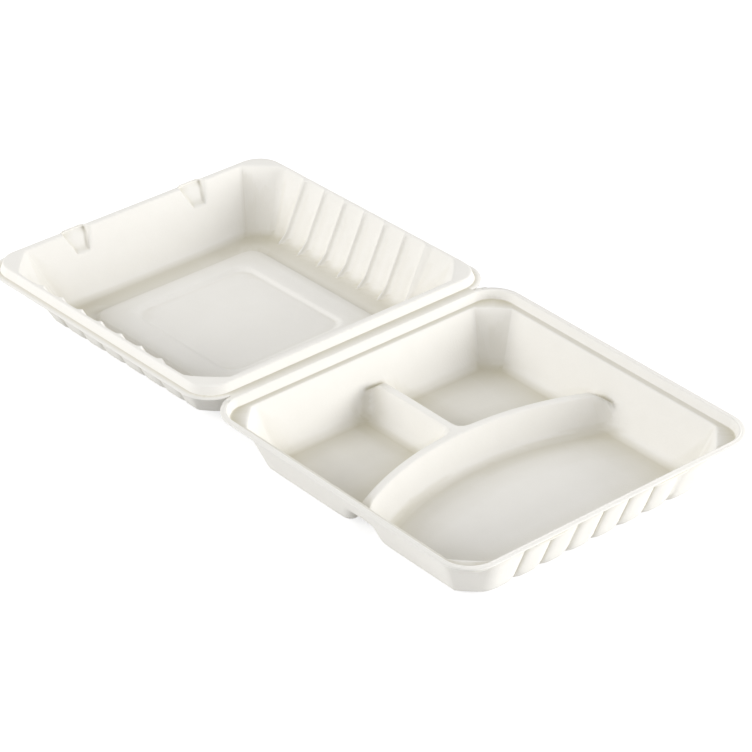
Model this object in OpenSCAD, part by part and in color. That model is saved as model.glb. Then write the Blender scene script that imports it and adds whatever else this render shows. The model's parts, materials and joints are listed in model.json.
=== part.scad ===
// Three-compartment takeout clamshell, pressed from fibre pulp as one thin shell.
// It stands open on a table: the tray is on the +X side and the lid on the -X side of the crease.
// Each half is a thin sheet whose lines follow the rim, the wall and the floor, so it has one skin
// on the food side and a second skin one shell thickness below it.

/* [Footprint] */
// Outside length of each half, away from the crease
half_len = 230; // [200:1:260]
// Outside width, along the crease
half_w = 230; // [200:1:260]
// Corner radius of the rim, seen from above
rim_r = 22; // [16:0.5:28]
// Thickness of the pressed fibre
shell_t = 1; // [0.8:0.05:1.2]

/* [Rim] */
// Width of the flat lip round both halves
lip_w = 3.5; // [2.5:0.1:5]
// Depth of the step inside the tray's lip, which the lid's crest drops into
step_d = 5.5; // [4:0.1:7]
// Slope of that step, measured inwards
step_run = 2.1; // [1.5:0.1:3]
// Width of the tray's ledge, from the foot of the step to the wall
ledge_w = 6.2; // [5:0.1:8]
// Width of the flat top of the lid's crest
crest_w = 4.6; // [3.5:0.1:6]

/* [Tray] */
// Depth of the tray, from the lip to the table
tray_d = 39.2; // [34:0.2:46]
// Lean of the tray's walls from upright, in degrees
tray_draft = 19.5; // [14:0.5:24]
// Inside radius where a tray wall meets the floor
tray_foot_r = 13; // [9:0.5:15]

/* [Dividers] */
// Height of the divider tops above the tray's floor
divider_h = 20.2; // [16:0.2:24]
// Half width of the flat top of a divider
divider_half = 2.5; // [1.8:0.1:3.2]
// Radius of the curved divider, seen from above
arc_r = 200; // [170:1:260]
// Distance from the crease to the middle of the curved divider
arc_x = 96; // [90:0.5:104]
// Drop of the divider tops where they reach a wall
divider_dip = 5; // [0:0.5:8]

/* [Lid] */
// Depth of the lid, from the lip to its underside
lid_d = 34.6; // [28:0.2:37]
// Lean of the lid's walls from upright, in degrees
lid_draft = 27; // [22:0.5:30]
// Inside radius where a lid wall meets the floor
lid_foot_r = 15; // [11:0.5:17]
// Rise of the frame pressed into the lid's floor
panel_rise = 1.2; // [0.6:0.1:2]
// Half size of that frame, outside
panel_half = 66; // [62:0.5:68]
// Half length of the flat field inside the frame, away from the crease
field_half_x = 51; // [44:0.5:54]
// Half width of the flat field inside the frame, along the crease
field_half_y = 46; // [40:0.5:54]
// Corner radius of the frame and the field
panel_r = 10; // [7:0.5:13]

/* [Flutes] */
// Distance between the inward ribs of a fluted wall
flute_pitch = 20; // [18:0.1:21]
// Outward swell of the wall between two ribs
flute_swell = 2.6; // [1:0.1:3]
// Length of the flat corner facet along each wall, at the top
facet_top = 17; // [14:0.5:19]
// Length of the flat corner facet along each wall, at the foot
facet_foot = 11; // [9:0.5:13]

/* [Latches] */
// Distance of each latch pocket from the middle of the lid's front
latch_y = 47; // [40:0.5:50]
// Half width of a latch pocket at the rim
latch_half = 10.5; // [9:0.5:12]
// Outward swell of the crest at a latch pocket
latch_out = 1.7; // [0.8:0.1:1.8]
// Depth of a latch pocket into the wall below the crest
latch_in = 3.6; // [2:0.1:4.5]

/* [Hinge] */
// Play between the closed lid and the tray
close_gap = 0.4; // [0.4:0.05:0.6]
// Width of the crease line that parts the two halves
crease_w = 0.3; // [0.2:0.05:0.4]

/* [Hidden] */

fibre = "#f1eee6";

// Steps that a curve is drawn in, and the lines that a sheet has outside its floor
ribs_each_way = 3;
bay_steps = 4;
corner_steps = 5;
foot_steps = 3;
panel_edge = 1.2;
latch_ease = 4.5;
facet_round = 0.12;
rib_margin = 0.9;
dip_run = 18;
wall_lines = [0.4, 0.75];
rib_nudge = 0.001;
skirt_ease = 0.2;
crest_play = 0.75;
latch_fade = 0.45;
latch_play = 0.1;
foot_turns = [for (k = [foot_steps : -1 : 0]) k / foot_steps];
foot_swell = [1, 0.8, 0.4, 0];

// Insets from the rim. The lid's crest drops inside the tray's step with the closing play all round
skirt_in = lip_w + close_gap + skirt_ease;
crest_in = lip_w + step_run + crest_play * close_gap;
crest_wall_in = crest_in + crest_w;
tray_wall_in = lip_w + step_run + ledge_w;

// Lines across a fluted wall, counted from its middle
rib_span = ribs_each_way * flute_pitch;
flute_lines = [for (k = [-ribs_each_way * bay_steps : ribs_each_way * bay_steps])
    k * flute_pitch / bay_steps];

function mix(a, b, t) = a + (b - a) * t;
function limit(t) = max(0, min(1, t));
function soft(t) = let (u = limit(t)) u * u * (3 - 2 * u);
function negated(list) = [for (k = [len(list) - 1 : -1 : 0]) -list[k]];

// Swell of a fluted wall at a place along it. The end bays run on to the wall's end, at reach
function swell(at, reach) =
    let (span = min(rib_span, reach * rib_margin), a = abs(at) * rib_span / span)
    let (end_bay = (abs(at) - span) / (reach - span), bay = a / flute_pitch)
    let (u = limit(abs(at) > span ? end_bay : bay - floor(bay + rib_nudge)))
    flute_swell * 4 * u * (1 - u);

// Places of a wall's lines along it, out to its end. The inner ones keep their distance where they fit
function along(lines, reach) =
    let (last = lines[len(lines) - 1], span = min(last, reach * rib_margin))
    concat([for (q = [0 : bay_steps - 1]) mix(-reach, -span, q / bay_steps)],
        [for (y = lines) y * span / last],
        [for (q = [1 : bay_steps]) mix(span, reach, q / bay_steps)]);

// Share of a latch pocket's swell at a place along the front wall
function latch_share(at, half) = limit((half - abs(abs(at) - latch_y)) / latch_ease);

// A wall's straight height, and the inset at which its foot fillet meets the floor
function straight_of(fall, draft, r) = fall - r * (1 - sin(draft));
function foot_inset(wall_in, fall, draft, r) = wall_in + (fall - r) * tan(draft) + r / cos(draft);

// One corner of a line round a half, from the long side (t = 0) to the end (t = 1)
function corner(hx, hy, leg, round, t) =
    let (flat = [hx - leg * t, hy - leg * (1 - t)])
    let (bend = [hx - leg * (1 - cos(90 * t)), hy - leg * (1 - sin(90 * t))])
    mix(flat, bend, round);

// Lines down a wall, as [inset, height above the floor, corner leg, corner roundness, flute share]
function wall_rows(wall_in, fall, draft, r) =
    let (straight = straight_of(fall, draft, r), back = foot_inset(wall_in, fall, draft, r))
    concat(
        [[wall_in, fall, facet_top, facet_round, 1]],
        [for (q = wall_lines) [wall_in + q * straight * tan(draft), fall - q * straight,
            mix(facet_top, facet_foot, q), facet_round, 1]],
        [for (k = [0 : foot_steps]) let (turn = (90 - draft) * foot_turns[k])
            [back - r * sin(turn), r - r * cos(turn), facet_foot, facet_round, foot_swell[k]]]);

// Unit normal of a sheet at row i and column j, from the neighbours on each side
function sheet_normal(rows, i, j, loop) =
    let (n = len(rows[0]), m = len(rows))
    let (u = rows[min(m - 1, i + 1)][j] - rows[max(0, i - 1)][j])
    let (next = loop ? (j + 1) % n : min(n - 1, j + 1), last = loop ? (j + n - 1) % n : max(0, j - 1))
    let (c = cross(u, rows[i][next] - rows[i][last]))
    c / norm(c);

// The same sheet again, one shell thickness below
function under(rows, loop) =
    [for (i = [0 : len(rows) - 1]) [for (j = [0 : len(rows[0]) - 1])
        rows[i][j] - shell_t * sheet_normal(rows, i, j, loop)]];

// Two triangles for each cell of a sheet, and the same turned over
function cells(m, n, loop) =
    [for (i = [0 : m - 2], j = [0 : n - (loop ? 1 : 2)], h = [0, 1])
        let (a = i * n + j, b = i * n + (j + 1) % n)
        h == 0 ? [a, b, b + n] : [a, b + n, a + n]];
function turned(faces, shift) = [for (f = faces) [for (k = [len(f) - 1 : -1 : 0]) f[k] + shift]];

// The points of the food side first, then those of the underside
function both_sides(rows, low) = concat([for (row = rows, p = row) p], [for (row = low, p = row) p]);

// A closed shell from an open sheet of points
module sheet_shell(rows) {
    m = len(rows);
    n = len(rows[0]);
    base = m * n;
    top = cells(m, n, false);
    edge = concat([for (j = [0 : n - 2]) j], [for (i = [0 : m - 2]) i * n + n - 1],
        [for (j = [n - 1 : -1 : 1]) (m - 1) * n + j], [for (i = [m - 1 : -1 : 1]) i * n]);
    rim = [for (k = [0 : len(edge) - 1]) let (a = edge[k], b = edge[(k + 1) % len(edge)])
        [a, base + a, base + b, b]];
    polyhedron(both_sides(rows, under(rows, false)), concat(top, turned(top, base), rim), convexity = 8);
}

// A closed shell from rings of points, the outer ring first, with a flat field inside the last ring
module ring_shell(rows) {
    m = len(rows);
    n = len(rows[0]);
    base = m * n;
    top = concat(cells(m, n, true), [[for (j = [0 : n - 1]) (m - 1) * n + j]]);
    rim = [for (j = [0 : n - 1]) let (b = (j + 1) % n) [j, base + j, base + b, b]];
    polyhedron(both_sides(rows, under(rows, true)), concat(top, turned(top, base), rim), convexity = 8);
}

// Tray: heights are above its floor's food side
tray_fall = tray_d - step_d - shell_t;
tray_back = foot_inset(tray_wall_in, tray_fall, tray_draft, tray_foot_r);
tray_rows = concat(
    [[0, tray_d - shell_t, rim_r, 1, 0], [lip_w, tray_d - shell_t, rim_r - lip_w, 1, 0],
        [lip_w + step_run, tray_fall, rim_r - lip_w - step_run, 1, 0]],
    wall_rows(tray_wall_in, tray_fall, tray_draft, tray_foot_r),
    [[tray_back + facet_foot, 0, 0, 0, 0]]);
tray_rings = len(tray_rows) - 1;
step_foot_row = 2;

// Dividers: flat top, sides with the walls' lean, foot fillets like the walls'
divider_foot = divider_half + (divider_h - tray_foot_r) * tan(tray_draft) + tray_foot_r / cos(tray_draft);
divider_lines = concat([for (turn = negated(foot_turns))
    divider_foot + tray_foot_r * sin((90 - tray_draft) * turn)], [divider_half]);
function divider_height(s) =
    let (a = abs(s), fillet = divider_foot - a)
    a <= divider_half ? divider_h
        : fillet > tray_foot_r * cos(tray_draft) ? divider_h - (a - divider_half) / tan(tray_draft)
        : fillet > 0 ? tray_foot_r - sqrt(tray_foot_r * tray_foot_r - fillet * fillet) : 0;

// A divider's top drops over its last stretch before the wall that it runs into
divider_end = half_w / 2 - tray_wall_in - (tray_fall - divider_h) * tan(tray_draft);
divider_end_x = half_len / 2 - tray_wall_in - (tray_fall - divider_h) * tan(tray_draft);
function dipped(height, to_wall) = min(height, divider_h - divider_dip * soft(1 - to_wall / dip_run));

// The curved divider bows towards the hinge. Its lines are circles about one centre
arc_mid = arc_x - half_len / 2;
arc_centre = arc_mid + arc_r;
arc_reach = half_w / 2 - tray_wall_in;
function arc_line(s, y) = let (v = min(abs(y), arc_reach)) arc_centre - sqrt(pow(arc_r - s, 2) - v * v);
function arc_offset(x, y) = arc_r - sqrt(pow(arc_centre - x, 2) + y * y);

// Lines across the tray: from the hinge to the front, and along the crease
function tray_x_lines(reach, y) =
    let (near = [for (s = divider_lines) arc_line(-s, y)])
    let (far = [for (s = negated(divider_lines)) arc_line(-s, y)])
    concat([-reach], near, far, [mix(far[len(far) - 1], reach, 0.5), reach]);
fine_lines = [for (k = [-2 * bay_steps : 2 * bay_steps]) k * flute_pitch / bay_steps / 2];
fine_end = flute_pitch * (1 + rib_nudge);
tray_y_marks = concat([for (y = flute_lines) if (y < -fine_end) y], fine_lines,
    [for (y = flute_lines) if (y > fine_end) y]);
tray_cols = 2 * tray_rings + len(tray_x_lines(half_len / 2, 0)) - 1;
tray_spans = 2 * tray_rings + len(along(tray_y_marks, half_w / 2)) - 1;

// A point of the tray's food side, at line i from the hinge and line j along the crease
function tray_plan(i, j) =
    let (ii = min(i, tray_cols - i), jj = min(j, tray_spans - j), k = min(ii, jj, tray_rings))
    let (row = tray_rows[k], hx = half_len / 2 - row[0], hy = half_w / 2 - row[0], leg = row[2])
    let (sx = 2 * i < tray_cols ? -1 : 1, sy = 2 * j < tray_spans ? -1 : 1, left = tray_rings - k)
    ii < tray_rings && jj < tray_rings
        ? let (t = ii == k ? 0.5 * (tray_rings - jj) / left : 1 - 0.5 * (tray_rings - ii) / left)
            let (c = corner(hx, hy, leg, row[3], t)) [sx * c[0], sy * c[1], row[1]]
        : ii < tray_rings
        ? let (y = along(tray_y_marks, hy - leg)[j - tray_rings])
            let (out = sx < 0 ? 0 : row[4] * swell(y, hy - leg) + (k == step_foot_row ? latch_recess(y) : 0))
            [sx * (hx + out), y, row[1]]
        : jj < tray_rings
        ? [tray_x_lines(hx - leg, hy)[i - tray_rings], sy * hy, row[1]]
        : let (y = along(tray_y_marks, hy)[j - tray_rings])
            [tray_x_lines(hx, y)[i - tray_rings], y, row[1]];

// Recess of the tray's step where a latch pocket of the closed lid drops in
function latch_recess(y) = (latch_out + latch_play) * latch_share(y, latch_half + latch_ease);

// Dividers raise the sheet where they stand higher than the wall or the floor
function tray_point(i, j) =
    let (p = tray_plan(i, j), s = arc_offset(p[0], p[1]))
    let (curved = dipped(divider_height(s), divider_end - abs(p[1])))
    let (straight = s > 0 ? 0 : dipped(divider_height(p[1]), divider_end_x + p[0]))
    [max(half_len / 2 + p[0], crease_w / 2), p[1], shell_t + max(p[2], curved, straight)];

// Lid: heights are above its floor's food side, before it is laid down
lid_fall = lid_d - shell_t + step_d;
lid_back = foot_inset(crest_wall_in, lid_fall, lid_draft, lid_foot_r);
function inset_row(row) = [half_len / 2 - row[0], half_w / 2 - row[0], row[1], row[2], row[3], row[4]];
function panel_row(hx, hy, z) = [hx, hy, z, panel_r, 1, 0];
lid_rows = concat(
    [for (row = concat(
        [[0, lid_d - shell_t, rim_r, 1, 0], [skirt_in, lid_d - shell_t, rim_r - skirt_in, 1, 0],
            [crest_in, lid_fall, rim_r - crest_in, 1, 0]],
        wall_rows(crest_wall_in, lid_fall, lid_draft, lid_foot_r))) inset_row(row)],
    [panel_row(panel_half, panel_half, 0),
        panel_row(panel_half - panel_edge, panel_half - panel_edge, panel_rise),
        panel_row(field_half_x + panel_edge, field_half_y + panel_edge, panel_rise),
        panel_row(field_half_x, field_half_y, 0),
        panel_row(field_half_x - panel_r / 2, field_half_y - panel_r / 2, 0)]);

// Outward swell of the front wall at its latch pockets, line by line down from the rim
latch_swells = [0, 0, latch_out, latch_in, latch_fade * latch_in];
latch_edge = latch_half - latch_ease;
latch_marks = [for (side = [-1, 1], q = [-latch_half, -latch_edge, latch_edge, latch_half])
    side * latch_y + q];
latch_end = latch_y + latch_half;

// One ring of the lid, clockwise from the hinge side as seen from above
function lid_corner(row, sx, sy, t) = let (c = corner(row[0], row[1], row[3], row[4], t))
    [sx * c[0], sy * c[1], row[2]];
function lid_ring(k) =
    let (row = lid_rows[k], hx = row[0], hy = row[1], leg = row[3], steps = [0 : corner_steps])
    let (lines = along(flute_lines, hx - leg), last = len(lines) - 1)
    let (squeeze = min(1, rib_margin * (hy - leg) / latch_end))
    let (out = k < len(latch_swells) ? latch_swells[k] : 0)
    concat(
        [for (q = steps) lid_corner(row, 1, -1, q / corner_steps)],
        [for (q = [last - 1 : -1 : 1]) [lines[q], -hy - row[5] * swell(lines[q], hx - leg), row[2]]],
        [for (q = steps) lid_corner(row, -1, -1, 1 - q / corner_steps)],
        [for (y = latch_marks) [-hx - out * latch_share(y, latch_half), y * squeeze, row[2]]],
        [for (q = steps) lid_corner(row, -1, 1, q / corner_steps)],
        [for (q = [1 : last - 1]) [lines[q], hy + row[5] * swell(lines[q], hx - leg), row[2]]],
        [for (q = steps) lid_corner(row, 1, 1, 1 - q / corner_steps)]);
function lid_point(p) = [min(p[0] - half_len / 2, -crease_w / 2), p[1], p[2] + shell_t - lid_d];

// The open lid tips down until the front of its floor meets the table
axis_up = close_gap / 2;
lid_reach = half_len - lid_back;
lid_tip = asin((tray_d + axis_up) / norm([lid_reach, lid_d + axis_up]))
    - atan((lid_d + axis_up) / lid_reach);

module tray() {
    color(fibre) sheet_shell([for (i = [0 : tray_cols]) [for (j = [0 : tray_spans]) tray_point(i, j)]]);
}

module lid() {
    color(fibre) translate([0, 0, tray_d + axis_up]) rotate([0, -lid_tip, 0]) translate([0, 0, -axis_up])
        ring_shell([for (k = [0 : len(lid_rows) - 1]) [for (p = lid_ring(k)) lid_point(p)]]);
}

tray();
lid();
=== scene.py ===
# %% [markdown]
# # A pressed fibre takeout clamshell
#
# This lesson dresses an open takeout container in Blender. The real thing is one thin sheet of plant
# fibre, sucked onto a wire mould and pressed dry, with a divided tray on one side of the crease and a
# fluted lid on the other. The construction model already fixes its size, its joint and its resting
# place, so the first cell loads that frame and takes the sizes from its box.

# %% Load the frame
import json
import math

import bmesh
import bpy
from mathutils import Matrix, Vector
from mathutils.bvhtree import BVHTree


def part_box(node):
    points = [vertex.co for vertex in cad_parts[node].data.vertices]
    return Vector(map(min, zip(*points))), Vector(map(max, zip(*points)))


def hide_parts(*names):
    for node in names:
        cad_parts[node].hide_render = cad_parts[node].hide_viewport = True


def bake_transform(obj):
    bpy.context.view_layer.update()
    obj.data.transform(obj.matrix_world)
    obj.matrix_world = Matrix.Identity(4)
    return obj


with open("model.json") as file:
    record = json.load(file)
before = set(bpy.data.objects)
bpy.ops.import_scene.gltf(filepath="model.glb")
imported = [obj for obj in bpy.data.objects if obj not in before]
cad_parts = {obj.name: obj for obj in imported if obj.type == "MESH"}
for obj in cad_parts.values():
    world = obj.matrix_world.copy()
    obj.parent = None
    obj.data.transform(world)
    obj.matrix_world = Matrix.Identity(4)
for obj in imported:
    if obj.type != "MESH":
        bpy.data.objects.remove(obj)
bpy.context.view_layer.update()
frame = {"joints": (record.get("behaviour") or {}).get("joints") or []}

MM = 0.001
tray_low, tray_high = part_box("tray")
HALF_LEN = tray_high.x / 2 / MM
HALF_WIDTH = tray_high.y / MM
LIP_Z = tray_high.z / MM
hinge = frame["joints"][0]
AXIS_Z = hinge["pos_m"][2] / MM
LID_TIP = math.radians(hinge["range_deg"][1] - 180)
print("each half", round(2 * HALF_LEN, 1), "x", round(2 * HALF_WIDTH, 1), "mm, lip at", round(LIP_Z, 1))

# %% [markdown]
# ## Camera first
#
# The photograph looks down at about 32 degrees from the tray's front corner, with a long lens, so the
# sides of each square half stay almost parallel. A camera fitted to the rims gives the place, the
# target and the lens. Setting it first means that every later step can be judged in the right view.

# %% Camera
CAMERA_AT = Vector((1384.4, -1164.6, 1132.0)) * MM
CAMERA_LOOKS_AT = Vector((38.72, -16.04, 39.2)) * MM
camera_data = bpy.data.cameras.new("camera")
camera_data.sensor_width = 36
camera_data.lens = 167.12
camera_data.clip_end = 20
camera = bpy.data.objects.new("camera", camera_data)
camera.location = CAMERA_AT
camera.rotation_euler = (CAMERA_LOOKS_AT - CAMERA_AT).to_track_quat("-Z", "Y").to_euler()
bpy.context.scene.collection.objects.link(camera)
bpy.context.scene.camera = camera

# %% [markdown]
# ## Sections of the mould
#
# A pressed sheet is easiest to describe by its section: walk in from the rim and write down each
# corner as an inset and a height, with the radius that the mould gives it. A short helper turns the
# corners into arcs and adds lines along the longer straights, so the mesh bends where the sheet bends.

# %% Helper: a section with rounded corners
def mix(a, b, t):
    return a + (b - a) * t


def limit(t):
    return max(0.0, min(1.0, t))


def soft(t):
    t = limit(t)
    return t * t * (3 - 2 * t)


def rounded_section(corners, longest):
    """Corners are (inset, height, radius, steps), in mm. Returns the section's points, rim first."""
    points = [Vector(corners[0][:2])]
    for before, here, after in zip(corners, corners[1:], corners[2:]):
        p = Vector(here[:2])
        back = (Vector(before[:2]) - p).normalized()
        on = (Vector(after[:2]) - p).normalized()
        turn = math.pi - back.angle(on)
        radius, steps = here[2:]
        start = p + back * radius * math.tan(turn / 2)
        centre = p + (back + on).normalized() * radius / math.cos(turn / 2)
        way = 1 if back.x * on.y - back.y * on.x < 0 else -1
        for step in range(steps + 1):
            spin = Matrix.Rotation(way * turn * step / steps, 2)
            points.append(centre + spin @ (start - centre))
    points.append(Vector(corners[-1][:2]))
    spaced = points[:1]
    for p in points[1:]:
        last = spaced[-1].copy()
        pieces = max(1, math.ceil((p - last).length / longest - 0.01))
        spaced += [last.lerp(p, (n + 1) / pieces) for n in range(pieces)]
    return spaced

# %% [markdown]
# Each half is laid out like a woven mat. Near the edge its threads run round as rings, one ring for each
# point of the section, and inside the last ring they cross as plain lines. A ring has straight sides and
# corners that go from a full round at the rim to a nearly flat facet on the walls, as on the real tray.

# %% Helper: rings and lines
def corner(half_x, half_y, leg, bend, t):
    flat = Vector((half_x - leg * t, half_y - leg * (1 - t)))
    turn = math.pi / 2 * t
    arc = Vector((half_x - leg * (1 - math.cos(turn)), half_y - leg * (1 - math.sin(turn))))
    return flat.lerp(arc, bend)


def spread(marks, reach, margin=0.9, end_steps=8):
    """A wall's lines out to its ends. The inner marks keep their distance where they fit."""
    span = min(marks[-1], reach * margin)
    inner = [mark * span / marks[-1] for mark in marks]
    ends = [mix(span, reach, (n + 1) / end_steps) for n in range(end_steps)]
    return [-y for y in reversed(ends)] + inner + ends


def mat_point(rings, i, j, cols, rows, x_lines, y_lines, swell):
    """Plan position and ring of thread crossing (i, j), measured from the middle of the half."""
    last = len(rings) - 1
    ii, jj = min(i, cols - i), min(j, rows - j)
    k = min(ii, jj, last)
    half_x, half_y, leg, bend = rings[k]["plan"]
    side_x = -1 if 2 * i < cols else 1
    side_y = -1 if 2 * j < rows else 1
    if ii < last and jj < last:
        left = last - k
        t = 0.5 * (last - jj) / left if ii == k else 1 - 0.5 * (last - ii) / left
        c = corner(half_x, half_y, leg, bend, t)
        return Vector((side_x * c.x, side_y * c.y)), rings[k]
    if ii < last:
        y = y_lines(half_y - leg)[j - last]
        return Vector((side_x * (half_x + swell(rings[k], "x", side_x, y, half_y - leg)), y)), rings[k]
    if jj < last:
        x = x_lines(half_x - leg, half_y)[i - last]
        return Vector((x, side_y * (half_y + swell(rings[k], "y", side_y, x, half_x - leg)))), rings[k]
    y = y_lines(half_y)[j - last]
    return Vector((x_lines(half_x, y)[i - last], y)), rings[last]

# %% [markdown]
# The walls are stiffened by flutes: soft outward bays between narrow inward ribs, seven ribs to a wall.
# Where a wall has no flutes it is plain. The same rule serves the tray's front and two sides of the lid.

# %% Flutes
FLUTE_PITCH = 20
RIB_SPAN = 3 * FLUTE_PITCH
FLUTE_SWELL = 2.6
TRAY_BAY_FLAT, LID_BAY_FLAT = 4, 7
RIB_SOFT = 0.04
BAY_MARKS = (0, 0.7, 1.5, 2.9, 5.6, 10, 14.4, 17.1, 18.5, 19.3)
FLUTE_MARKS = sorted([n * FLUTE_PITCH + m for n in range(-3, 3) for m in BAY_MARKS] + [RIB_SPAN])


def bay(u, flat):
    """Outward swell across one bay: nearly flat in the middle, steep beside the ribs."""
    arch = 1 - abs(2 * limit(u) - 1) ** flat
    return (math.hypot(arch, RIB_SOFT) - RIB_SOFT) / (math.hypot(1, RIB_SOFT) - RIB_SOFT)


def flute(ring, along, reach, flat):
    """Swell of a fluted wall at a ring. Near the foot the ribs stand further in, like small claws."""
    span = min(RIB_SPAN, reach * 0.9)
    a = abs(along)
    past = limit((a - span) / (reach - span))
    arch = bay(past if a > span else a * RIB_SPAN / span / FLUTE_PITCH % 1, flat)
    return FLUTE_SWELL * (ring["flute"] * arch - ring["claw"] * (1 - arch) * (1 - past))

# %% [markdown]
# ## The tray
#
# Its section is a flat lip with a low bead, a steep step that the lid's crest drops past, a ledge, a wall
# with 22 degrees of draft and a generous foot. Pulp needs these radii: a sharp corner would tear.

# %% Tray section
SHEET = 1
FLOOR = SHEET
RIM_R = 22
LEDGE_Z = 33.7
STEP_IN, WALL_IN = 5.6, 10
TRAY_DRAFT = math.radians(22.2)
FOOT_R = 8
WALL_FALL = LEDGE_Z - FLOOR
FOOT_IN = WALL_IN + WALL_FALL * math.tan(TRAY_DRAFT)
FACET_TOP, FACET_FOOT, FACET_BEND = 17, 11, 0.12
CLAW, CLAW_RISE, CLAW_TOP = 1.1, 1.2, 1.6
FLUTE_FADE = 0.4

tray_section = rounded_section([
    (0, LIP_Z - 0.5), (2.1, LIP_Z - 0.5, 0.5, 2), (3.3, LIP_Z + 0.6, 0.9, 4), (STEP_IN, LEDGE_Z, 0.8, 3),
    (WALL_IN, LEDGE_Z, 1.3, 3), (FOOT_IN, FLOOR, FOOT_R, 5), (FOOT_IN + 6, FLOOR)], 4.6)
print("tray section", len(tray_section), "points, top", round(max(p.y for p in tray_section), 2))


def ring_plan(inset, z, wall_in, step_in, top_z, floor_z, foot_r, draft):
    """Half sizes, corner leg and corner bend of a ring, and its share of the flutes."""
    ledge = limit((inset - step_in) / (wall_in - step_in))
    down = limit((top_z - z) / (top_z - floor_z))
    leg = RIM_R - inset if ledge == 0 else mix(RIM_R - step_in, mix(FACET_TOP, FACET_FOOT, down), ledge)
    foot = foot_r * (1 - math.sin(draft))
    share = ledge * limit((z - floor_z) / foot) ** FLUTE_FADE
    claw = CLAW * soft((z - floor_z) / CLAW_RISE) * soft(CLAW_TOP - (z - floor_z) / foot)
    plan = (HALF_LEN - inset, HALF_WIDTH - inset, leg, mix(1, FACET_BEND, ledge))
    return {"plan": plan, "z": z, "flute": share, "claw": claw, "inset": inset}


tray_rings = [ring_plan(p.x, p.y, WALL_IN, STEP_IN, LEDGE_Z, FLOOR, FOOT_R, TRAY_DRAFT)
              for p in tray_section]
foot_end = tray_section[-1].x
for out, leg in ((3, 9.2), (7, 6.9), (12, 4), (20, 0)):
    half = (HALF_LEN - foot_end - out, HALF_WIDTH - foot_end - out)
    tray_rings.append({"plan": (*half, leg, FACET_BEND), "z": FLOOR, "flute": 0, "claw": 0,
                       "inset": foot_end + out})

# %% [markdown]
# ## Dividers
#
# A curved divider bows towards the crease and a straight one runs from it to the crease wall, so there
# are one large and two small compartments. They are ridges of the same sheet: flat top, drafted sides and
# the wall's foot radius. Distances to the ridges and the walls are joined by a smooth minimum, which
# rounds the meeting corners in plan as the mould does. Near a wall the ridge tops dip.

# %% Divider ridges
RIDGE_H = 20.2
RIDGE_HALF = 2.5
RIDGE_DIP, DIP_RUN = 6.5, 13
ARC_R = 200
ARC_CENTRE = 96 - HALF_LEN + ARC_R
PLAN_ROUND = 9
RIDGE_FOOT = RIDGE_HALF + (RIDGE_H - FOOT_R) * math.tan(TRAY_DRAFT) + FOOT_R / math.cos(TRAY_DRAFT)
RIDGE_IN = WALL_IN + (WALL_FALL - RIDGE_H) * math.tan(TRAY_DRAFT)


def smooth_min(a, b, reach):
    near = limit(1 - abs(a - b) / reach)
    return min(a, b) - near * near * reach / 4


def ridge_height(d):
    to_foot = RIDGE_FOOT - d
    if to_foot <= 0:
        return 0
    if to_foot < FOOT_R * math.cos(TRAY_DRAFT):
        return FOOT_R - math.sqrt(FOOT_R ** 2 - to_foot ** 2)
    return smooth_min(RIDGE_H, RIDGE_H - (d - RIDGE_HALF) / math.tan(TRAY_DRAFT), 1.2)


def ridges(x, y):
    """Height of the divider ridges at a place measured from the middle of the tray."""
    bow = math.hypot(ARC_CENTRE - x, y) - ARC_R
    d = abs(bow)
    if bow > 0:
        d = smooth_min(d, abs(y), PLAN_ROUND)
    to_side = HALF_WIDTH - abs(y) - RIDGE_IN
    to_crease = HALF_LEN + x - RIDGE_IN
    d = smooth_min(d, to_side + RIDGE_HALF, PLAN_ROUND)
    d = smooth_min(d, to_crease + RIDGE_HALF, PLAN_ROUND)
    top = RIDGE_H - RIDGE_DIP * soft(1 - min(to_side, to_crease) / DIP_RUN)
    return min(ridge_height(max(0, d)), top)


foot_turns = [n / 6 * (math.pi / 2 - TRAY_DRAFT) for n in range(7)]
ridge_lines = [RIDGE_FOOT - FOOT_R * math.sin(turn) for turn in foot_turns] + [4.4, 3.1, 2.7, 2.3, 1.2]
ridge_lines = ridge_lines + [0] + [-s for s in reversed(ridge_lines)]


def tray_x_lines(reach, y):
    v = min(abs(y), HALF_WIDTH - WALL_IN)
    bows = [ARC_CENTRE - math.sqrt((ARC_R + s) ** 2 - v * v) for s in ridge_lines]
    back = [mix(-reach, bows[0], n / 9) for n in range(9)]
    front = [mix(bows[-1], reach, (n + 1) / 14) for n in range(14)]
    return back + bows + front


LATCH_Y, LATCH_HALF, LATCH_EASE = 47, 10.5, 4.5
LATCH_RECESS = 1.8
TRAY_MARKS = sorted({y for y in FLUTE_MARKS if abs(y) >= FLUTE_PITCH}
                    | {n * FLUTE_PITCH / 16 for n in range(-15, 16)}
                    | {side * y for side in (-1, 1) for y in (0.6, 2.1, 3.1)})


def tray_y_lines(reach):
    return spread(TRAY_MARKS, reach)


def latch_share(y, half, ease):
    return soft((half - abs(abs(y) - LATCH_Y)) / ease)


def tray_swell(ring, axis, side, along, reach):
    if axis == "y" or side < 0:
        return 0
    recess = LATCH_RECESS * latch_share(along, LATCH_HALF + LATCH_EASE, LATCH_EASE)
    at_step = limit((ring["inset"] - 3.5) / 2.1) * limit((WALL_IN - ring["inset"]) / 4)
    return flute(ring, along, reach, TRAY_BAY_FLAT) + at_step * recess

# %% [markdown]
# The mat of threads is a grid, and pressing it moves every crossing to its place on the mould. On the
# crease side the lip has no bead, because the sheet runs on into the lid there.

# %% Press the tray
CREASE = tray_low.x / MM
ANY_REACH = 60


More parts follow.
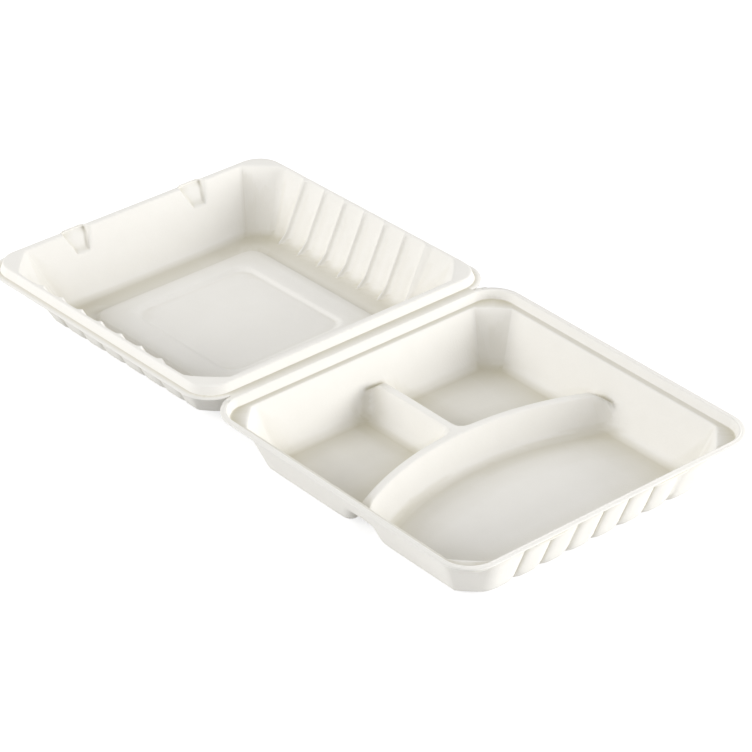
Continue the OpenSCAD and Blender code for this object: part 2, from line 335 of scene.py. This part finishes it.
def press(name, rings, x_lines, y_lines, swell, finish):
    """A grid with one vertex for each thread crossing, pressed into the half's shape, in mm."""
    last = len(rings) - 1
    cols = 2 * last + len(x_lines(ANY_REACH, 0)) - 1
    rows = 2 * last + len(y_lines(ANY_REACH)) - 1
    bm = bmesh.new()
    bmesh.ops.create_grid(bm, x_segments=cols, y_segments=rows, size=0.5)
    for vert in bm.verts:
        i, j = round((vert.co.x + 0.5) * cols), round((vert.co.y + 0.5) * rows)
        plan, ring = mat_point(rings, i, j, cols, rows, x_lines, y_lines, swell)
        vert.co = finish(plan, ring)
    print(name, "threads", cols + 1, "x", rows + 1, "faces", len(bm.faces))
    return bm


def tray_finish(plan, ring):
    x = max(plan.x + HALF_LEN, CREASE)
    z = ring["z"]
    if x < 3.3 and z > LEDGE_Z + 3:
        z = LIP_Z
    return Vector((x, plan.y, max(z, FLOOR + ridges(plan.x, plan.y))))


tray_mesh = press("tray", tray_rings, tray_x_lines, tray_y_lines, tray_swell, tray_finish)

# %% [markdown]
# ## The lid
#
# The lid is the same sheet on the other side of the crease. Its rim rises to a crest instead of stepping
# down, its two long sides are fluted, and a low frame is pressed into its floor. Two latch pockets bulge
# from the front wall. The lid lies back on the table, tipped by little more than one degree.

# %% Lid section
LID_LIP = 33.6
CREST_Z = 39.1
SKIRT_IN, CREST_IN, LID_WALL_IN = 4.1, 5.9, 10.5
LID_DRAFT = math.radians(27)
LID_FOOT_R = 7
LID_FOOT_IN = LID_WALL_IN + CREST_Z * math.tan(LID_DRAFT)
PANEL_HALF, FIELD_X, FIELD_Y, PANEL_R, PANEL_RISE = 66, 51, 46, 10, 1.5

LATCH_OUT, LATCH_IN, LATCH_DEEP, LATCH_TIP, LATCH_SINK = 1.7, 5, 13.4, 5.5, 1.8
POCKET_SILL, POCKET_HELD = 0.86, 0.45
lid_section = rounded_section([
    (0, LID_LIP), (SKIRT_IN, LID_LIP, 0.6, 3), (CREST_IN, CREST_Z, 1.2, 3), (LID_WALL_IN, CREST_Z, 1.3, 3),
    (LID_FOOT_IN, 0, LID_FOOT_R, 5), (LID_FOOT_IN + 6.5, 0)], 5)
for share in (POCKET_SILL, 0.93, 1):
    fall = LATCH_DEEP * share
    lid_section.append(Vector((LID_WALL_IN + fall * math.tan(LID_DRAFT), CREST_Z - fall)))
lid_section.sort(key=lambda p: p.x)
lid_rings = [ring_plan(p.x, p.y, LID_WALL_IN, CREST_IN, CREST_Z, 0, LID_FOOT_R, LID_DRAFT)
             for p in lid_section]


def floor_ring(half_x, half_y, z, r):
    return {"plan": (half_x, half_y, r, 1), "z": z, "flute": 0, "claw": 0, "inset": HALF_LEN - half_x}


lid_end = HALF_LEN - lid_section[-1].x
lid_rings += [floor_ring(half, half, 0, PANEL_R)
              for half in (mix(lid_end, PANEL_HALF, 0.5), PANEL_HALF + 1.2)]
lid_rings += [floor_ring(PANEL_HALF + 0.6 - d, PANEL_HALF + 0.6 - d, PANEL_RISE * soft(d / 1.6), PANEL_R)
              for d in (0.4, 0.8, 1.2, 1.7)]
lid_rings += [floor_ring(mix(PANEL_HALF, FIELD_X, q), mix(PANEL_HALF, FIELD_Y, q), PANEL_RISE, PANEL_R)
              for q in (0.35, 0.65)]
lid_rings += [floor_ring(FIELD_X + 1.8 - d, FIELD_Y + 1.8 - d, PANEL_RISE * (1 - soft(d / 3.6)), PANEL_R)
              for d in (-0.4, 0.7, 1.8, 2.9, 3.7)]
lid_rings += [floor_ring(FIELD_X - d, FIELD_Y - d, 0, leg) for d, leg in ((3, 8.2), (6, 6.5), (12, 0))]

POCKET_MARKS = (0, 3.5, 6.5, 8.3, 9.2, 10, 10.6, 11.6, 14)
LATCH_MARKS = sorted({side * (LATCH_Y + way * m)
                      for side in (-1, 1) for way in (-1, 1) for m in POCKET_MARKS}
                     | {n * 5.5 for n in range(-5, 6)})
POCKET_EDGE, POCKET_OUT = 2.4, 14


def wedge(ring):
    """How far down the pockets' wedge a ring lies, and how far in across the crest."""
    down = (CREST_Z - ring["z"]) / LATCH_DEEP if ring["inset"] > LID_WALL_IN else 0
    across = limit((ring["inset"] - CREST_IN) / (LID_WALL_IN - CREST_IN))
    return down, across


def lid_swell(ring, axis, side, along, reach):
    if axis == "y":
        return flute(ring, along, reach, LID_BAY_FLAT)
    if side > 0:
        return 0
    down, across = wedge(ring)
    share = latch_share(along, LATCH_HALF, mix(LATCH_EASE, POCKET_EDGE, across))
    on_crest = limit((ring["inset"] - SKIRT_IN) / (CREST_IN - SKIRT_IN))
    held = mix(1, POCKET_HELD, limit(down)) * (1 - soft((down - POCKET_SILL) / (1 - POCKET_SILL)))
    return on_crest * mix(LATCH_OUT, LATCH_IN, across) * held * share


def to_wedge(y, down):
    """Draws the threads beside a pocket together, so that they follow the sides of its wedge."""
    d = abs(y) - LATCH_Y
    narrow = soft(down) if down < 1 else soft(2 - down)
    half = mix(LATCH_HALF, LATCH_TIP, narrow)
    if abs(d) <= LATCH_HALF:
        moved = d * half / LATCH_HALF
    elif abs(d) < POCKET_OUT:
        moved = math.copysign(mix(half, POCKET_OUT, (abs(d) - LATCH_HALF) / (POCKET_OUT - LATCH_HALF)), d)
    else:
        return y
    return math.copysign(LATCH_Y + moved, y)


def lid_finish(plan, ring):
    y, z = plan.y, ring["z"] - LID_LIP
    on_front = plan.x < -HALF_LEN / 2 and abs(y) < abs(plan.x) - 4
    if on_front and CREST_IN - 0.5 < ring["inset"]:
        down, across = wedge(ring)
        if ring["inset"] < LID_WALL_IN + 1:
            ease = mix(LATCH_EASE, POCKET_EDGE, across)
            z -= LATCH_SINK * soft(across * 2) * latch_share(y, LATCH_HALF, ease)
        if 0 < down < 2:
            y = to_wedge(y, down)
    return Vector((min(plan.x - HALF_LEN, -CREASE), y, z))


def lid_x_lines(reach, y):
    return spread(FLUTE_MARKS, reach)


def lid_y_lines(reach):
    return spread(LATCH_MARKS, reach, 0.75, 9)


lid_mesh = press("lid", lid_rings, lid_x_lines, lid_y_lines, lid_swell, lid_finish)

# %% [markdown]
# ## One sheet
#
# The tray and the lid leave the press as one sheet. So the two meshes are joined along the crease, and only
# then given their one millimetre of thickness downwards, which also hollows the dividers from below.

# %% Join and thicken
EDGE_NEAR = CREASE + 0.05


def on_crease(vert):
    return abs(vert.co.x) < EDGE_NEAR


tip = Matrix.Translation((0, 0, AXIS_Z)) @ Matrix.Rotation(-LID_TIP, 4, "Y")
lid_mesh.transform(tip @ Matrix.Translation((0, 0, LIP_Z - AXIS_Z)))

sheet = bpy.data.meshes.new("clamshell")
lid_mesh.to_mesh(sheet)
tray_mesh.from_mesh(sheet)
lid_mesh.free()
bm = tray_mesh
crease_edges = [e for e in bm.edges if e.is_boundary and all(on_crease(v) for v in e.verts)]
bridge = bmesh.ops.bridge_loops(bm, edges=crease_edges)
print("crease edges", len(crease_edges), "joined by", len(bridge["faces"]), "faces")

bmesh.ops.recalc_face_normals(bm, faces=bm.faces)
if sum(f.normal.z * f.calc_area() for f in bm.faces) < 0:
    bmesh.ops.reverse_faces(bm, faces=bm.faces)
bm.normal_update()
down = {v: -v.normal * SHEET for v in bm.verts}
bmesh.ops.extrude_face_region(bm, geom=bm.faces[:], use_keep_orig=True)
for vert, shift in down.items():
    vert.co += shift
bmesh.ops.recalc_face_normals(bm, faces=bm.faces)
bmesh.ops.scale(bm, vec=(MM, MM, MM), verts=bm.verts)
for face in bm.faces:
    face.smooth = True
bm.to_mesh(sheet)
print("clamshell", len(bm.faces), "faces, open edges", sum(not e.is_manifold for e in bm.edges),
      "volume", round(bm.calc_volume() * 1e9 / 1000, 1), "cm3")
bm.free()

clamshell = bpy.data.objects.new("clamshell", sheet)
bpy.context.scene.collection.objects.link(clamshell)
low = [round(min(v.co[n] for v in sheet.vertices) / MM, 2) for n in range(3)]
high = [round(max(v.co[n] for v in sheet.vertices) / MM, 2) for n in range(3)]
print("clamshell box", low, high)

# %% [markdown]
# The photograph shows the low, narrow places darker and yellower than these lamps alone make them. Most of
# that is probably shade from low light and not colour in the fibre, so this is a painted stand-in for it.
# A few rays go up from each place, and how near they meet a wall is kept on the mesh as an attribute that
# the material reads. The reach and the strength were tuned until the tones came near the photograph's.

# %% Enclosed places
REACH = 75 * MM
RAYS = 32


def ray_fan():
    """Directions spread evenly over an upward dome."""
    fan = []
    for n in range(RAYS):
        up = 1 - (n + 0.5) / RAYS
        turn = n * math.pi * (3 - math.sqrt(5))
        out = math.sqrt(1 - up * up)
        fan.append(Vector((out * math.cos(turn), out * math.sin(turn), up)))
    return fan


ball = BVHTree.FromPolygons([v.co for v in sheet.vertices], [p.vertices for p in sheet.polygons])
fan = ray_fan()
closed_in = []
for vert in sheet.vertices:
    start_at = vert.co + vert.normal * 0.3 * MM
    met = [ball.ray_cast(start_at, ray, REACH)[3] for ray in fan if ray.dot(vert.normal) > 0.05]
    closed_in.append(sum(1 - far / REACH for far in met if far is not None) / RAYS)
crevice = sheet.attributes.new("crevice", "FLOAT", "POINT")
crevice.data.foreach_set("value", closed_in)
print("enclosed places, mean", round(sum(closed_in) / len(closed_in), 2), "most", round(max(closed_in), 2))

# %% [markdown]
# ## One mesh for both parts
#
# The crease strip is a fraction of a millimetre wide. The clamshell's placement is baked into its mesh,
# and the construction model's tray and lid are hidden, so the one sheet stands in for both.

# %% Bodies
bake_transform(clamshell)
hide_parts("tray", "lid")
print("clamshell stands for the tray and the lid")

# %% [markdown]
# ## Shading as arithmetic
#
# Node trees read more easily when they look like sums. This class wraps an output socket, so adding or
# multiplying two values adds the node that does it, and one method makes any other node.

# %% A value in a node tree
class Flow:
    def __init__(self, tree, socket=None):
        self.tree = tree
        self.socket = socket

    def node(self, kind, settings=None, inputs=None, output=0):
        made = self.tree.nodes.new(kind)
        for name, value in (settings or {}).items():
            setattr(made, name, value)
        for name, value in (inputs or {}).items():
            self.feed(made.inputs[name], value)
        return Flow(self.tree, made.outputs[output] if made.outputs else None)

    def feed(self, socket, value):
        if isinstance(value, Flow):
            self.tree.links.new(value.socket, socket)
        else:
            socket.default_value = value

    def math(self, operation, a, b, clamp=False):
        return self.node("ShaderNodeMath", {"operation": operation, "use_clamp": clamp}, {0: a, 1: b})

    def __add__(self, other):
        return self.math("ADD", self, other)

    def __radd__(self, other):
        return self.math("ADD", other, self)

    def __sub__(self, other):
        return self.math("SUBTRACT", self, other)

    def __rsub__(self, other):
        return self.math("SUBTRACT", other, self)

    def __mul__(self, other):
        return self.math("MULTIPLY", self, other)

    def __rmul__(self, other):
        return self.math("MULTIPLY", other, self)

# %% [markdown]
# ## Pressed fibre
#
# Plant pulp dries to a matte warm white. Up close it is cloudy, with short fibres lying every way and a
# fine pebble left by the wire mesh that the water was drawn through. The colour varies by a few parts in
# a hundred and the relief by about a tenth of a millimetre, which keeps the walls from looking like plastic.

# %% Fibre material
MIX_A, MIX_B, MIX_RESULT = 6, 7, 2


def noise_node(start, place, scale, detail, roughness):
    return start.node("ShaderNodeTexNoise", {"noise_dimensions": "3D"},
                      {"Vector": place, "Scale": scale, "Detail": detail, "Roughness": roughness})


def stretched(start, place, scale, turn):
    return start.node("ShaderNodeMapping", inputs={"Vector": place, "Scale": scale, "Rotation": turn})


def colour(red, green, blue):
    return (red, green, blue, 1)


fibre = bpy.data.materials.new("molded_fiber")
fibre.use_nodes = True
tree = fibre.node_tree
shader = tree.nodes["Principled BSDF"]
start = Flow(tree)
place = start.node("ShaderNodeTexCoord", output="Object")
clouds = noise_node(start, place, 55, 4, 0.6)
grain = noise_node(start, place, 1500, 3, 0.6)
fibre_one = noise_node(start, stretched(start, place, (1, 9, 3), (0.3, 0.2, 0.7)), 130, 2, 0.5)
fibre_two = noise_node(start, stretched(start, place, (8, 1, 3), (0.2, 0.4, 0.4)), 150, 2, 0.5)
fibres = (fibre_one - 0.5) * (fibre_two - 0.5) * 6 + 0.5
pebble = start.node("ShaderNodeTexVoronoi", {"feature": "SMOOTH_F1"},
                    {"Vector": place, "Scale": 900, "Smoothness": 1.0})

tone = (clouds - 0.5) * 0.5 + (fibres - 0.5) * 0.5 + (grain - 0.5) * 0.3 + 0.5
shade = start.node("ShaderNodeMix", {"data_type": "RGBA"},
                   {"Factor": tone, MIX_A: colour(0.80, 0.782, 0.737), MIX_B: colour(0.868, 0.853, 0.818)},
                   MIX_RESULT)
# Painted shade: where the crevice attribute marks a place as enclosed, the base colour is multiplied towards
# a darker yellow, standing in for shade from low light.
enclosed = start.node("ShaderNodeAttribute", {"attribute_name": "crevice"}, output="Fac")
in_shade = start.math("MULTIPLY", enclosed - 0.05, 3.0, clamp=True)
painted_shade_colour = start.node("ShaderNodeMix", {"data_type": "RGBA", "blend_type": "MULTIPLY"},
                    {"Factor": in_shade, MIX_A: shade, MIX_B: colour(0.72, 0.69, 0.575)}, MIX_RESULT)
start.feed(shader.inputs["Base Color"], painted_shade_colour)
start.feed(shader.inputs["Roughness"], (grain - 0.5) * 0.12 + 0.9)
shader.inputs["Specular IOR Level"].default_value = 0.25
relief = pebble * 0.5 + grain * 0.5 + fibres * 0.6
bump = start.node("ShaderNodeBump", inputs={"Height": relief, "Distance": 0.00012, "Strength": 0.55})
start.feed(shader.inputs["Normal"], bump)
sheet.materials.append(fibre)
print("fibre material", len(tree.nodes), "nodes")

# %% [markdown]
# ## Floor and light
#
# The photograph's shading is matched by two wide, low softboxes in a white room: a stronger one beyond the
# tray's far front corner and a weaker one on the near side, towards the lid. The floor is white where
# nothing shades it and keeps a pale shadow under the container. Its white and the room's are shown to
# camera, glossy and transmitted rays only, so they add nothing to the diffuse light on the container.

# %% Floor
def seen_rays(start):
    """1 on camera, glossy and transmitted rays, and 0 on the others."""
    camera, gloss, glass = [start.node("ShaderNodeLightPath", output="Is " + kind + " Ray")
                            for kind in ("Camera", "Glossy", "Transmission")]
    return start.math("ADD", camera + gloss, glass, clamp=True)


floor_mesh = bpy.data.meshes.new("floor")
bm = bmesh.new()
bmesh.ops.create_grid(bm, x_segments=1, y_segments=1, size=6)
bm.to_mesh(floor_mesh)
bm.free()
floor = bpy.data.objects.new("floor", floor_mesh)
floor.location.z = -0.0002
bpy.context.scene.collection.objects.link(floor)

paper = bpy.data.materials.new("white_floor")
paper.use_nodes = True
tree = paper.node_tree
tree.nodes.clear()
start = Flow(tree)
bounce = start.node("ShaderNodeBsdfDiffuse", inputs={"Color": colour(0.82, 0.82, 0.82)})
shaded = start.node("ShaderNodeBsdfDiffuse", inputs={"Color": colour(0.45, 0.45, 0.45)})
lift = start.node("ShaderNodeEmission", inputs={"Color": colour(1, 1, 1), "Strength": 0.74})
seen = start.node("ShaderNodeAddShader", inputs={0: shaded, 1: lift})
surface = start.node("ShaderNodeMixShader", inputs={0: seen_rays(start), 1: bounce, 2: seen})
start.node("ShaderNodeOutputMaterial", inputs={"Surface": surface})
floor_mesh.materials.append(paper)
print("floor laid")

# %% Lights and background
LIGHT_AWAY = 2.4


def soft_light(name, azimuth, height, size, power):
    """A softbox at an azimuth from +X and a height above the table, in degrees, facing the container."""
    turn, lift = math.radians(azimuth), math.radians(height)
    data = bpy.data.lights.new(name, "AREA")
    data.shape = "RECTANGLE"
    data.size, data.size_y = size
    data.energy = power
    light = bpy.data.objects.new(name, data)
    light.location = LIGHT_AWAY * Vector((math.cos(turn) * math.cos(lift), math.sin(turn) * math.cos(lift),
                                          math.sin(lift)))
    light.rotation_euler = (-light.location).to_track_quat("-Z", "Y").to_euler()
    bpy.context.scene.collection.objects.link(light)


soft_light("right_softbox", 35, 14, (1.3, 1.0), 43.5)
soft_light("left_softbox", -122, 26, (1.3, 1.0), 29.5)

world = bpy.data.worlds.new("white_room")
world.use_nodes = True
bpy.context.scene.world = world
tree = world.node_tree
tree.nodes.clear()
start = Flow(tree)
room = start.node("ShaderNodeBackground", inputs={"Color": colour(1, 1, 1), "Strength": 0.64})
white = start.node("ShaderNodeBackground", inputs={"Color": colour(1, 1, 1), "Strength": 1.0})
seen = start.node("ShaderNodeMixShader", inputs={0: seen_rays(start), 1: room, 2: white})
start.node("ShaderNodeOutputWorld", inputs={"Surface": seen})
bpy.context.scene.view_settings.view_transform = "Standard"
print("two softboxes and a white room")
